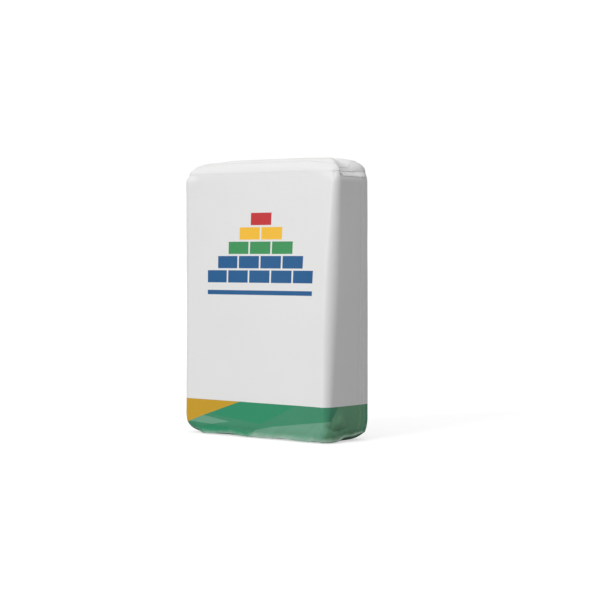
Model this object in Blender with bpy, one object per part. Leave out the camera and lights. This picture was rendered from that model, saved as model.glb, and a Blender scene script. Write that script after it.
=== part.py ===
"""A filled block-bottom valve sack of cement, standing upright on its bottom end.

Four pieces: the filled sack itself, the cover patch pasted over each of its two folded ends,
and the flattened paper sleeve of the filling valve, whose mouth shows as a lip at one end.
Metres, +Z up, the printed front faces -Y. The origin is under the middle of the sack, on the floor.
"""

import math

import bmesh
import bpy

# Outside size of the filled sack
WIDTH = 0.430
HEIGHT = 0.622

# The sack is thicker at its foot, where the cement has settled
DEPTH_FOOT = 0.150
DEPTH_TOP = 0.126

# The top end is turned a little against the foot, counter-clockwise seen from above
TOP_TURN = math.radians(4.7)

# How far the faces and the two narrow sides stand out between their edges
FACE_CROWN = 0.004
SIDE_CROWN = 0.003

# Radius of the four upright edges: at the top, what it gains halfway up, and at the floor,
# where the corners of the folded end are not filled
EDGE_RADIUS = 0.018
EDGE_RADIUS_GAIN = 0.006
FOOT_CORNER_RADIUS = 0.032
FOOT_CORNER_Z = 0.048

# The foot rounds under over this inset and height
FOOT_INSET = 0.030
FOOT_RISE = 0.028

# The top end is domed over its fold line by the cement inside
TOP_FOLD_Z = 0.589
DOME_INSET = 0.040
DOME_SHIFT_X = 0.013

# The cover patches, and the gap that keeps touching sheets apart
PATCH_SHEET = 0.0008
SHEET_GAP = 0.0003
TOP_PATCH_INSET = 0.009
FOOT_PATCH_INSET = 0.036

# The valve sleeve, pressed flat in a slit on the top fold line at the +X side
SLEEVE_WIDTH = 0.084
SLEEVE_SHEET = 0.0012
SLEEVE_LIP_DROP = 0.009
SLIT_DEPTH = 0.016
SLIT_HEIGHT = 0.0024

# How finely the round shapes are divided
CORNER_STEPS = 6
WIDE_FACE_STEPS = 8
NARROW_FACE_STEPS = 4
FOOT_STEPS = 6
WALL_STEPS = 12
DOME_STEPS = 8

SACK_FOOT_Z = PATCH_SHEET + SHEET_GAP
SACK_TOP_Z = HEIGHT - PATCH_SHEET - SHEET_GAP
WALL_FOOT_Z = SACK_FOOT_Z + FOOT_RISE
WALL_TOP_Z = TOP_FOLD_Z - 1.5 * SLEEVE_LIP_DROP
HALF_WIDTH = WIDTH / 2


def mix(first, second, share):
    """The value that lies at share of the way from first to second."""
    return first + (second - first) * share


def wall_share(z):
    """Where a height lies on the walls: 0 at their foot, 1 at their top."""
    return min(max((z - WALL_FOOT_Z) / (WALL_TOP_Z - WALL_FOOT_Z), 0.0), 1.0)


def half_depth(z):
    """Half of the sack's depth at a height."""
    return mix(DEPTH_FOOT, DEPTH_TOP, wall_share(z)) / 2


def fullness(z):
    """How full the walls are at a height: 0 at both ends of the walls, 1 halfway up."""
    return math.sin(math.pi * wall_share(z))


def turned(x, y, z):
    """A point of the section at a height, turned with that section."""
    angle = TOP_TURN * wall_share(z)
    return (
        x * math.cos(angle) - y * math.sin(angle),
        x * math.sin(angle) + y * math.cos(angle),
    )


def corner_radius(z):
    """Radius of the upright edges at a height."""
    upright = EDGE_RADIUS + EDGE_RADIUS_GAIN * fullness(z)
    share = min((z - SACK_FOOT_Z) / (FOOT_CORNER_Z - SACK_FOOT_Z), 1.0)
    return mix(FOOT_CORNER_RADIUS, upright, share * share * (3 - 2 * share))


def outline(z, inset, shift=0.0):
    """The sack's section at a height as (x, y) points, counter-clockwise, pulled in and shifted along X."""
    half_x, half_y = HALF_WIDTH - inset, half_depth(z) - inset
    radius = min(corner_radius(z), half_y)
    points = []
    for quarter in range(4):
        sign_x = 1 if quarter in (0, 3) else -1
        sign_y = 1 if quarter in (0, 1) else -1
        for step in range(CORNER_STEPS + 1):
            angle = (quarter + step / CORNER_STEPS) * math.pi / 2
            x = sign_x * (half_x - radius) + radius * math.cos(angle)
            y = sign_y * (half_y - radius) + radius * math.sin(angle)
            points.append((x, y))
        steps = WIDE_FACE_STEPS if quarter in (0, 2) else NARROW_FACE_STEPS
        x, y = points[-1]
        end_x, end_y = (-x, y) if quarter in (0, 2) else (x, -y)
        for step in range(1, steps):
            share = step / steps
            points.append((mix(x, end_x, share), mix(y, end_y, share)))
    full = [crowned(x, y, z, half_x, half_y) for x, y in points]
    return [turned(x + shift, y, z) for x, y in full]


def crowned(x, y, z, half_x, half_y):
    """Moves a point of the plain rounded section out to the full one."""
    across, along = x / half_x, y / half_y
    y += math.copysign(FACE_CROWN * fullness(z) * (1 - across**2) * along**2, y)
    x += math.copysign(SIDE_CROWN * fullness(z) * (1 - along**2) * across**4, x)
    return x, y


def dome(share):
    """The domed top end from its fold at 0 to its flat at 1: inset, height and outward direction of both."""
    rise = SACK_TOP_Z - TOP_FOLD_Z
    inset = DOME_INSET * share
    height = TOP_FOLD_Z + rise * math.sin(math.pi / 2 * share)
    climb = rise * math.pi / 2 * math.cos(math.pi / 2 * share)
    length = math.hypot(DOME_INSET, climb)
    return inset, height, -climb / length, DOME_INSET / length


def paper(name, colour, roughness):
    """A Principled material for one kind of sheet."""
    material = bpy.data.materials.new(name)
    material.use_nodes = True
    shader = material.node_tree.nodes["Principled BSDF"]
    shader.inputs["Base Color"].default_value = (*colour, 1.0)
    shader.inputs["Roughness"].default_value = roughness
    shader.inputs["Metallic"].default_value = 0.0
    return material


def placed_object(name, mesh, material):
    """Adds a mesh to the scene as a named object, shaded smooth but for its folds."""
    mesh.materials.append(material)
    mesh.shade_smooth()
    mesh.set_sharp_from_angle(angle=math.radians(28))
    piece = bpy.data.objects.new(name, mesh)
    bpy.context.scene.collection.objects.link(piece)
    return piece


def closed_mesh(name, shape):
    """Turns a finished bmesh into a mesh with its faces outwards."""
    bmesh.ops.recalc_face_normals(shape, faces=shape.faces)
    mesh = bpy.data.meshes.new(name)
    shape.to_mesh(mesh)
    shape.free()
    return mesh


def lofted(name, rings, base_z):
    """A closed mesh through rings of (height, points), capped at both ends, with heights counted from base_z."""
    shape = bmesh.new()
    loops = [[shape.verts.new((x, y, z - base_z)) for x, y in points] for z, points in rings]
    for lower, upper in zip(loops, loops[1:]):
        for i in range(len(lower)):
            shape.faces.new((lower[i - 1], lower[i], upper[i], upper[i - 1]))
    shape.faces.new(reversed(loops[0]))
    shape.faces.new(loops[-1])
    return closed_mesh(name, shape)


def sack_rings():
    """Rings of the filled sack, from its flat foot up its walls and over the domed top end."""
    rings = []
    for step in range(FOOT_STEPS):
        angle = step / FOOT_STEPS * math.pi / 2
        z = SACK_FOOT_Z + FOOT_RISE * (1 - math.cos(angle))
        rings.append((z, outline(z, FOOT_INSET * (1 - math.sin(angle)))))
    for step in range(WALL_STEPS + 1):
        z = mix(WALL_FOOT_Z, WALL_TOP_Z, step / WALL_STEPS)
        rings.append((z, outline(z, 0.0)))
    for step in range(DOME_STEPS + 1):
        share = step / DOME_STEPS
        inset, z, _, _ = dome(share)
        rings.append((z, outline(z, inset, DOME_SHIFT_X * share)))
    return rings


def slit_cutter():
    """The block that cuts the valve's slit into the sack's +X side, just over the fold line."""
    bpy.ops.mesh.primitive_cube_add(size=1.0)
    cutter = bpy.context.object
    cutter.name = "slit_cutter"
    middle_x, middle_y = turned(HALF_WIDTH, 0.0, TOP_FOLD_Z)
    cutter.scale = (2 * SLIT_DEPTH, SLEEVE_WIDTH + 4 * SHEET_GAP, SLIT_HEIGHT)
    cutter.rotation_euler = (0.0, 0.0, TOP_TURN)
    cutter.location = (middle_x, middle_y, TOP_FOLD_Z + SLIT_HEIGHT / 2)
    cutter.hide_render = True
    cutter.display_type = "WIRE"
    return cutter


def make_sack(material):
    """The filled sack: one tube of sheet, closed by its folded ends, with the cement in it."""
    sack = placed_object("sack", lofted("sack", sack_rings(), 0.0), material)
    slit = sack.modifiers.new("valve_slit", "BOOLEAN")
    slit.operation = "DIFFERENCE"
    slit.solver = "EXACT"
    slit.object = slit_cutter()
    return sack


def make_top_patch(material):
    """The cover patch on the domed top end: a sheet that follows the dome, flat in its middle."""
    start = TOP_PATCH_INSET / DOME_INSET
    shares = [mix(start, 1.0, step / DOME_STEPS) for step in range(DOME_STEPS + 1)]

    def ring(share, lift):
        inset, z, outward_inset, outward_z = dome(share)
        points = outline(TOP_FOLD_Z, inset + outward_inset * lift, DOME_SHIFT_X * share)
        return z + outward_z * lift, points

    under = [ring(share, SHEET_GAP) for share in shares]
    over = [ring(share, SHEET_GAP + PATCH_SHEET) for share in shares]
    mesh = lofted("top_cover_patch", list(reversed(under)) + over, TOP_FOLD_Z)
    patch = placed_object("top_cover_patch", mesh, material)
    patch.location = (0.0, 0.0, TOP_FOLD_Z)
    return patch


def make_foot_patch(material):
    """The cover patch under the bottom end, the sheet that the sack stands on."""
    points = outline(SACK_FOOT_Z, FOOT_PATCH_INSET)
    mesh = lofted("bottom_cover_patch", [(0.0, points), (PATCH_SHEET, points)], 0.0)
    return placed_object("bottom_cover_patch", mesh, material)


def make_valve_sleeve(material):
    """The valve's flattened sleeve: a tongue in the slit, turned down over the edge as a short lip."""
    inner, outer = SHEET_GAP, SHEET_GAP + SLEEVE_SHEET
    tongue_end = -(SLIT_DEPTH - SHEET_GAP)
    profile = [
        (tongue_end, inner),
        (inner, inner),
        (inner, -SLEEVE_LIP_DROP),
        (outer, -SLEEVE_LIP_DROP),
        (outer, outer - SLEEVE_SHEET * 0.4),
        (outer - SLEEVE_SHEET * 0.4, outer),
        (tongue_end, outer),
    ]
    shape = bmesh.new()
    near = [shape.verts.new((x, -SLEEVE_WIDTH / 2, z)) for x, z in profile]
    far = [shape.verts.new((x, SLEEVE_WIDTH / 2, z)) for x, z in profile]
    for i in range(len(profile)):
        shape.faces.new((near[i - 1], near[i], far[i], far[i - 1]))
    shape.faces.new(near)
    shape.faces.new(reversed(far))
    sleeve = placed_object("valve_sleeve", closed_mesh("valve_sleeve", shape), material)
    middle_x, middle_y = turned(HALF_WIDTH, 0.0, TOP_FOLD_Z)
    sleeve.location = (middle_x, middle_y, TOP_FOLD_Z)
    sleeve.rotation_euler = (0.0, 0.0, TOP_TURN)
    return sleeve


def main():
    """Clears the scene and builds the four pieces."""
    for old in list(bpy.data.objects):
        bpy.data.objects.remove(old)
    sack_sheet = paper("sack_sheet", (0.75, 0.75, 0.75), 0.55)
    patch_sheet = paper("patch_sheet", (0.80, 0.80, 0.79), 0.60)
    sleeve_sheet = paper("sleeve_sheet", (0.82, 0.81, 0.79), 0.65)
    make_sack(sack_sheet)
    make_top_patch(patch_sheet)
    make_foot_patch(patch_sheet)
    make_valve_sleeve(sleeve_sheet)


main()
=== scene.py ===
"""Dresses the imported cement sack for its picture.

The sack's filled tube, its two cover patches and its valve sleeve are made as sheet pieces around
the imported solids. The tube is one grid that is wrapped round the sack's outline, as the real tube
is wrapped from one web of sheet, so its print follows the sheet round every edge.
"""

from __future__ import annotations

import logging
import math
import sys
from dataclasses import dataclass, field, replace
from enum import Enum
from typing import Any, Iterable, Sequence, Union

import bmesh
import bpy
import numpy as np
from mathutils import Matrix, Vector
from mathutils.bvhtree import BVHTree

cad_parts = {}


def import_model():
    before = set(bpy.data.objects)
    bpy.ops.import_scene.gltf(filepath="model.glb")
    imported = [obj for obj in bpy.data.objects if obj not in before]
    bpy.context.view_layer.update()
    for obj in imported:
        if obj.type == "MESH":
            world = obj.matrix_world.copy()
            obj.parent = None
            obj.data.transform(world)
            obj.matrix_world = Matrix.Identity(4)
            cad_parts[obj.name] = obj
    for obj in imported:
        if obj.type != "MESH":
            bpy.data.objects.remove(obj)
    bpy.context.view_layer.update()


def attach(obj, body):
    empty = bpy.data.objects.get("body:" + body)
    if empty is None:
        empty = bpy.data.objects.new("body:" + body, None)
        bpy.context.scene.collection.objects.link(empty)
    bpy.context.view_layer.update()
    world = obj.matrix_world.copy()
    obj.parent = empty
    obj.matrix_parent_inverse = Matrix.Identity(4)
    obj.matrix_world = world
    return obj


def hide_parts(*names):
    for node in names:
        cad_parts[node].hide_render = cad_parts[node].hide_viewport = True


LOG = logging.getLogger("cement_sack")
ROOT_BODY = "root"
PHOTO_SIDE_PX = 600

# How wide the soft edge of a printed shape is, in metres
PRINT_EDGE = 0.0006

# How far a sheet keeps from the sheet under it, in metres
CLEARANCE = 0.0002

# How far the cover patches end short of the sack's sides, along and across it, in metres
TOP_MARGINS = (0.024, 0.016)
FOOT_MARGINS = (0.036, 0.036)

# How far past the middle of a wide side the emblem is printed, in metres
EMBLEM_SHIFT = 0.012

# Edges of a laid sheet that turn by less than this are shaded smooth
SMOOTH_ANGLE = math.radians(40)


class Slot(Enum):
    """Names of the sheets' material slots."""

    SACK = "sack_sheet"
    TOP_PATCH = "top_patch_sheet"
    BOTTOM_PATCH = "bottom_patch_sheet"
    SLEEVE = "sleeve_sheet"


class Side(Enum):
    """The four sides of the tube in the order in which its sheet runs round them."""

    FRONT = 0
    RIGHT = 1
    BACK = 2
    LEFT = 3


# Shader maths


@dataclass(frozen=True)
class Wire:
    """A shader socket that takes part in Python arithmetic; each operator adds a Math node."""

    graph: Graph
    socket: bpy.types.NodeSocket

    def _maths(self, operation: str, *values: Number) -> Wire:
        """Adds one Math node, with its inputs in order."""
        return self.graph.node("ShaderNodeMath", dict(enumerate(values)), operation=operation)

    def __add__(self, other: Number) -> Wire:
        """This and other together, whichever comes first."""
        return self._maths("ADD", self, other)

    def __sub__(self, other: Number) -> Wire:
        """This minus other."""
        return self._maths("SUBTRACT", self, other)

    def __rsub__(self, other: Number) -> Wire:
        """Other minus this."""
        return self._maths("SUBTRACT", other, self)

    def __mul__(self, other: Number) -> Wire:
        """This times other, whichever comes first."""
        return self._maths("MULTIPLY", self, other)

    def __truediv__(self, other: Number) -> Wire:
        """This divided by other."""
        return self._maths("DIVIDE", self, other)

    def __rtruediv__(self, other: Number) -> Wire:
        """Other divided by this."""
        return self._maths("DIVIDE", other, self)

    def __abs__(self) -> Wire:
        """This without its sign."""
        return self._maths("ABSOLUTE", self)

    def fraction(self) -> Wire:
        """What is left of this after it is rounded down."""
        return self._maths("FRACT", self)

    def clamped(self) -> Wire:
        """This held between 0 and 1."""
        return self.graph.node("ShaderNodeClamp", {"Value": self, "Min": 0.0, "Max": 1.0})

    __radd__ = __add__
    __rmul__ = __mul__


Number = Union[float, Wire]
Colour = tuple[float, float, float]


def linear(*screen: int) -> Colour:
    """A screen colour as linear light.

    Args:
        screen: Red, green and blue, from 0 to 255.

    Returns:
        The three linear values.
    """
    shares = [value / 255 for value in screen]
    return tuple(share / 12.92 if share <= 0.04045 else ((share + 0.055) / 1.055) ** 2.4 for share in shares)


class Graph:
    """The node tree of a material or a world, whose expressions feed its one shader."""

    def __init__(self, owner: Any, shader: str = "Principled BSDF") -> None:
        """Starts the tree.

        Args:
            owner: The new material or world.
            shader: The name of its shader node.
        """
        owner.use_nodes = True
        self.owner = owner
        self.tree = owner.node_tree
        self.shader = self.tree.nodes[shader]

    def node(self, kind: str, sockets: dict[Any, Any] | None = None, out: Any = 0, **settings: Any) -> Wire:
        """Adds one node.

        Args:
            kind: The node's type.
            sockets: Values or links of its sockets, by name or number.
            out: The name or number of the output to return.
            settings: Its own settings, which are set first.

        Returns:
            That output.
        """
        made = self.tree.nodes.new(kind)
        for key, value in settings.items():
            setattr(made, key, value)
        for key, value in (sockets or {}).items():
            self._feed(made.inputs[key], value)
        return Wire(self, made.outputs[out])

    def _feed(self, socket: bpy.types.NodeSocket, value: Any) -> None:
        """Links or sets one input.

        Args:
            socket: The input.
            value: A wire, a number, a vector or a colour.
        """
        if isinstance(value, Wire):
            self.tree.links.new(value.socket, socket)
        elif socket.type == "RGBA":
            socket.default_value = (*value, 1.0)
        else:
            socket.default_value = value

    def set(self, **inputs: Any) -> None:
        """Feeds the shader's inputs, named with _ for each space."""
        for name, value in inputs.items():
            self._feed(self.shader.inputs[name.replace("_", " ")], value)

    def mix(self, share: Number, first: Any, second: Any) -> Wire:
        """A colour between two others: the first where the share is 0, the second where it is 1."""
        sockets = {0: share, 6: first, 7: second}
        return self.node("ShaderNodeMix", sockets, out=2, data_type="RGBA", clamp_factor=True)

    def place(self) -> Wire:
        """The place on the object."""
        return self.node("ShaderNodeTexCoord", out="Object")

    def noise(self, where: Wire, scale: float, detail: float, roughness: float) -> Wire:
        """Cloudy noise from 0 to 1, with so many waves per metre and so many finer layers."""
        sockets = {"Vector": where, "Scale": scale, "Detail": detail, "Roughness": roughness}
        return self.node("ShaderNodeTexNoise", sockets)

    def stretched(self, where: Wire, scale: tuple[float, float, float], turn: float) -> Wire:
        """Coordinates that are scaled along X, Y and Z and turned about Z, in radians."""
        return self.node("ShaderNodeMapping", {"Vector": where, "Scale": scale, "Rotation": (0, 0, turn)})

    def bump(self, height: Wire, distance: float, **under: Wire) -> Wire:
        """A normal tilted by a height, which measures a distance where it is 1, over any other Normal."""
        return self.node("ShaderNodeBump", {"Height": height, "Distance": distance, **under})


# Finishes


@dataclass(frozen=True)
class PaperFinish:
    """Uncoated or coated sack paper with its fibres, its cloudy tone and its handling marks."""

    name: str
    colour: Colour
    shade: float
    roughness: float
    crease: float = 0.0004
    fibre: float = 0.00005

    def surface(self, graph: Graph) -> tuple[Wire, Wire, Wire]:
        """Draws the bare sheet.

        Args:
            graph: The material's graph.

        Returns:
            The colour, the roughness and the tilted normal.
        """
        where = graph.place()
        cloud = graph.noise(where, 14.0, 4.0, 0.55)
        flecks = graph.noise(where, 420.0, 2.0, 0.6)
        fibres = graph.noise(graph.stretched(where, (1.0, 1.0, 0.22), 0.4), 1500.0, 2.0, 0.7)
        crossing = graph.noise(graph.stretched(where, (0.3, 0.3, 1.0), -0.5), 1100.0, 2.0, 0.7)
        creased = graph.bump(graph.noise(where, 55.0, 3.0, 0.6), self.crease)
        normal = graph.bump(fibres * 0.5 + crossing * 0.5, self.fibre, Normal=creased)
        dark = tuple(channel * (1 - 2 * self.shade) for channel in self.colour)
        colour = graph.mix(cloud * 0.7 + flecks * 0.3, dark, self.colour)
        return colour, self.roughness + (flecks - 0.5) * 0.18 + (cloud - 0.5) * 0.12, normal

    def build(self) -> bpy.types.Material:
        """Makes the material.

        Returns:
            The material.
        """
        graph = Graph(bpy.data.materials.new(self.name))
        colour, gloss, normal = self.surface(graph)
        graph.set(Base_Color=colour, Roughness=gloss, Normal=normal)
        return graph.owner


def inked(inside: Wire) -> Wire:
    """1 where a place lies inside a printed shape by some distance, 0 outside, with a soft edge."""
    return (inside / PRINT_EDGE + 0.5).clamped()


@dataclass(frozen=True)
class Facet:
    """One flat-coloured shape of the printed band, with straight edges on the unrolled sheet."""

    ink: Colour
    corners: tuple[tuple[float, float], ...]

    def mask(self, along: Wire, up: Wire) -> Wire:
        """Finds where the facet lies. Its corners run against the clock.

        Args:
            along: The place along the sheet in metres.
            up: The height on the sheet in metres.

        Returns:
            1 inside the facet, 0 outside.
        """
        inside: Number = 1.0
        for (from_u, from_v), (to_u, to_v) in zip(self.corners, self.corners[1:] + self.corners[:1]):
            run_u, run_v = to_u - from_u, to_v - from_v
            length = math.hypot(run_u, run_v)
            side = (up - from_v) * (run_u / length) - (along - from_u) * (run_v / length)
            inside = inked(side) * inside
        return inside


@dataclass(frozen=True)
class BrickEmblem:
    """The plain print on the two wide sides: a stepped stack of bricks, one ink to a course, on a bar."""

    middle: float
    foot: float = 0.346
    course: float = 0.0275
    joint: float = 0.0045
    brick: float = 0.0620
    bar_drop: float = 0.022
    bar_height: float = 0.010
    blue: Colour = linear(10, 88, 142)
    green: Colour = linear(52, 146, 84)
    yellow: Colour = linear(246, 190, 44)
    red: Colour = linear(196, 34, 40)

    def print_on(self, graph: Graph, ground: Wire, along: Wire, up: Wire) -> Wire:
        """Prints the emblem.

        Args:
            graph: The material's graph.
            ground: The colour under it.
            along: The place along the sheet in metres.
            up: The height on the sheet in metres.

        Returns:
            The printed colour.
        """
        inks = (self.blue, self.blue, self.green, self.yellow, self.red)
        for row, ink in enumerate(inks):
            count = len(inks) - row
            centre = self.foot + row * (self.course + self.joint) + self.course / 2
            offset = self.middle + (self.brick / 2 if count % 2 else 0.0)
            place = ((along - offset) / self.brick).fraction() - 0.5
            in_course = inked(self.course / 2 - abs(up - centre)) * self.across(count, along)
            in_brick = inked(((1 - self.joint / self.brick) / 2 - abs(place)) * self.brick)
            ground = graph.mix(in_course * in_brick, ground, ink)
        in_bar = inked(self.bar_height / 2 - abs(up - (self.foot - self.bar_drop)))
        return graph.mix(in_bar * self.across(len(inks), along), ground, self.blue)

    def across(self, count: int, along: Wire) -> Wire:
        """Where a course of so many bricks reaches along the sheet."""
        return inked(count * self.brick / 2 - self.joint / 2 - abs(along - self.middle))


@dataclass(frozen=True)
class BandInks:
    """The inks of the facetted band, as the light that they throw back."""

    gold: Colour = (0.580, 0.335, 0.017)
    deep_green: Colour = (0.0240, 0.2700, 0.1340)
    green: Colour = (0.0480, 0.2660, 0.1440)
    soft_green: Colour = (0.1200, 0.3300, 0.1860)
    pale_green: Colour = (0.1420, 0.3590, 0.2340)


@dataclass(frozen=True)
class PrintedFinish:
    """The tube's coated white sheet, with the facetted band round its foot and the brick emblem."""

    name: str
    paper: PaperFinish
    girth: float
    emblem: BrickEmblem
    foot_fold: float
    band_top: float = 0.0795
    seam_edges: tuple[float, float] = (0.5290, 0.5425)
    seam_line: float = 0.0013
    seam_blur: float = 0.0009
    seam_wear: float = 0.16
    ink_gloss: float = 0.16
    # The pale marks along the foot's fold below are partly worn ink and partly painted highlight and sheen on
    # the creased fold
    rub_stray: float = 0.012
    rub_reach: float = 0.0080
    worn_and_highlit_line: float = 0.0016
    valve_end_middle: float = 0.5018
    valve_end_half: float = 0.0560
    inks: BandInks = BandInks()

    def facets(self) -> tuple[Facet, ...]:
        """The band's facets from the lowest print to the highest, on one repeat of the sheet.

        Returns:
            The facets.
        """
        low, top = -0.05, self.band_top
        start, end = -0.01, self.girth / 2
        knee, tip = (0.10, 0.026), (0.23, 0.022)
        inks = self.inks
        return (
            Facet(inks.pale_green, ((0.14, low), (end, low), (end, 0.060), (0.40, 0.044), tip)),
            Facet(inks.soft_green, ((0.40, low), (end, low), (end, top), (0.468, top), (0.440, 0.036))),
            Facet(inks.deep_green, ((start, low), (0.13, low), (0.215, 0.016), knee, (start, 0.014))),
            Facet(inks.pale_green, ((start, 0.014), knee, tip, (0.05, 0.047), (start, 0.030))),
            Facet(inks.deep_green, ((0.098, 0.047), (0.250, 0.033), (0.350, top), (0.165, top))),
            Facet(inks.gold, ((0.0143, 0.0230), (0.186, top), (0.0143, top))),
        )

    def build(self) -> bpy.types.Material:
        """Makes the material.

        Returns:
            The material.
        """
        graph = Graph(bpy.data.materials.new(self.name))
        white, gloss, normal = self.paper.surface(graph)
        sheet = graph.node("ShaderNodeUVMap", uv_map="UVMap")
        along, up = (graph.node("ShaderNodeSeparateXYZ", {"Vector": sheet}, out=axis) for axis in "XY")
        half = self.girth / 2
        repeated = (along / half).fraction() * half
        band: Any = self.inks.green
        for facet in self.facets():
            band = graph.mix(facet.mask(repeated, up), band, facet.ink)
        # Pales the band towards the paper along the foot's fold: partly worn ink, partly painted highlight on
        # the fold
        band = graph.mix(self.worn_ink_and_fold_highlight(graph, along, up), band, self.paper.colour)
        in_band = inked(self.band_top - up)
        colour = graph.mix(in_band, self.emblem.print_on(graph, white, repeated, up), band)
        near, far = (
            ((self.seam_line - abs(along - edge)) / self.seam_blur).clamped() for edge in self.seam_edges
        )
        colour = graph.mix((near + far) * self.seam_wear, colour, self.paper.colour)
        graph.set(Base_Color=colour, Roughness=gloss - in_band * self.ink_gloss, Normal=normal)
        return graph.owner

    def worn_ink_and_fold_highlight(self, graph: Graph, along: Wire, up: Wire) -> Wire:
        """Finds where the band's ink is paled towards the paper along the foot's fold, most on the valve's
        end: partly ink rubbed thin, partly a painted highlight and sheen on the creased fold.

        Args:
            graph: The material's graph.
            along: The distance round the sheet in metres.
            up: The height on the sheet in metres.

        Returns:
            0 for whole ink, towards 1 where the paper colour is painted in, for worn ink and for the fold's
            painted highlight.
        """
        where = graph.place()
        above = up - self.foot_fold
        strayed = above - (graph.noise(where, 24.0, 3.0, 0.6) - 0.5) * self.rub_stray
        # Patches near the fold: partly ink worn thin, partly painted sheen on the crumpled foot
        near = (1.0 - abs(strayed) / self.rub_reach).clamped() * (strayed / 0.0020 + 0.5).clamped()
        # Painted highlight on the fold's ridge: a thin pale line, strongest on the valve's end, partly also
        # ink cracked thin on the fold
        line = (1.6 - abs(above - 0.0010) / self.worn_and_highlit_line).clamped()
        valve_end = ((self.valve_end_half - abs(along - self.valve_end_middle)) / self.rub_reach).clamped()
        patchy = (graph.noise(where, 30.0, 4.0, 0.6) * 3.2 - 0.9).clamped()
        return (near * patchy * 0.34 + line * (valve_end * 0.24 + 0.08)).clamped()


# Form of the sack


def ramp(values: np.ndarray, start: float, reach: float) -> np.ndarray:
    """Shares from 0 at a start to 1 a reach further on, where a negative reach runs downwards."""
    return np.clip((values - start) / reach, 0.0, 1.0)


def eased(share: np.ndarray) -> np.ndarray:
    """Shares held between 0 and 1, with a soft start and end."""
    share = np.clip(share, 0.0, 1.0)
    return share * share * (3 - 2 * share)


@dataclass(frozen=True)
class SackForm:
    """The filled sack's own sizes in metres, and the turn of its top in radians."""

    width: float = 0.430
    depth_foot: float = 0.150
    depth_top: float = 0.126
    height: float = 0.622
    top_turn: float = math.radians(4.7)
    face_crown: float = 0.004
    side_crown: float = 0.003
    edge_radius: float = 0.018
    edge_radius_gain: float = 0.006
    foot_corner_radius: float = 0.032
    foot_corner_z: float = 0.048
    foot_inset: float = 0.030
    foot_rise: float = 0.028
    fold_z: float = 0.589
    slit_gap: float = 0.0002
    dome_gap: float = 0.0006
    dome_inset: float = 0.040
    dome_shift: float = 0.013
    patch_sheet: float = 0.0008
    sheet_gap: float = 0.0003
    lip_drop: float = 0.009

    @property
    def foot_z(self) -> float:
        """Height of the sack's underside."""
        return self.patch_sheet + self.sheet_gap

    @property
    def top_z(self) -> float:
        """Height of the sack's top under its patch."""
        return self.height - self.patch_sheet - self.sheet_gap

    @property
    def wall_foot_z(self) -> float:
        """Height where the walls begin over the rounded foot."""
        return self.foot_z + self.foot_rise

    @property
    def wall_top_z(self) -> float:
        """Height where the walls stop turning, just under the top fold."""
        return self.fold_z - 1.5 * self.lip_drop

    def wall_share(self, z: np.ndarray) -> np.ndarray:
        """Where heights lie on the walls: 0 at their foot, 1 at their top."""
        return ramp(z, self.wall_foot_z, self.wall_top_z - self.wall_foot_z)

    def half_depth(self, z: np.ndarray) -> np.ndarray:
        """Half of the sack's depth at heights."""
        return (self.depth_foot + (self.depth_top - self.depth_foot) * self.wall_share(z)) / 2

    def fullness(self, z: np.ndarray) -> np.ndarray:
        """How full the walls are at heights: 0 at both ends of the walls, 1 halfway up."""
        return np.sin(np.pi * self.wall_share(z))

    def corner_radius(self, z: np.ndarray) -> np.ndarray:
        """Finds the radius of the upright edges.

        Args:
            z: Heights over the floor.

        Returns:
            The radius at each.
        """
        upright = self.edge_radius + self.edge_radius_gain * self.fullness(z)
        share = eased((z - self.foot_z) / (self.foot_corner_z - self.foot_z))
        return self.foot_corner_radius + (upright - self.foot_corner_radius) * share

    def turned(self, x: np.ndarray, y: np.ndarray, turn: Any) -> tuple[np.ndarray, np.ndarray]:
        """Level places turned against the clock about the sack's middle, by an angle in radians."""
        return x * np.cos(turn) - y * np.sin(turn), x * np.sin(turn) + y * np.cos(turn)


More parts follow.
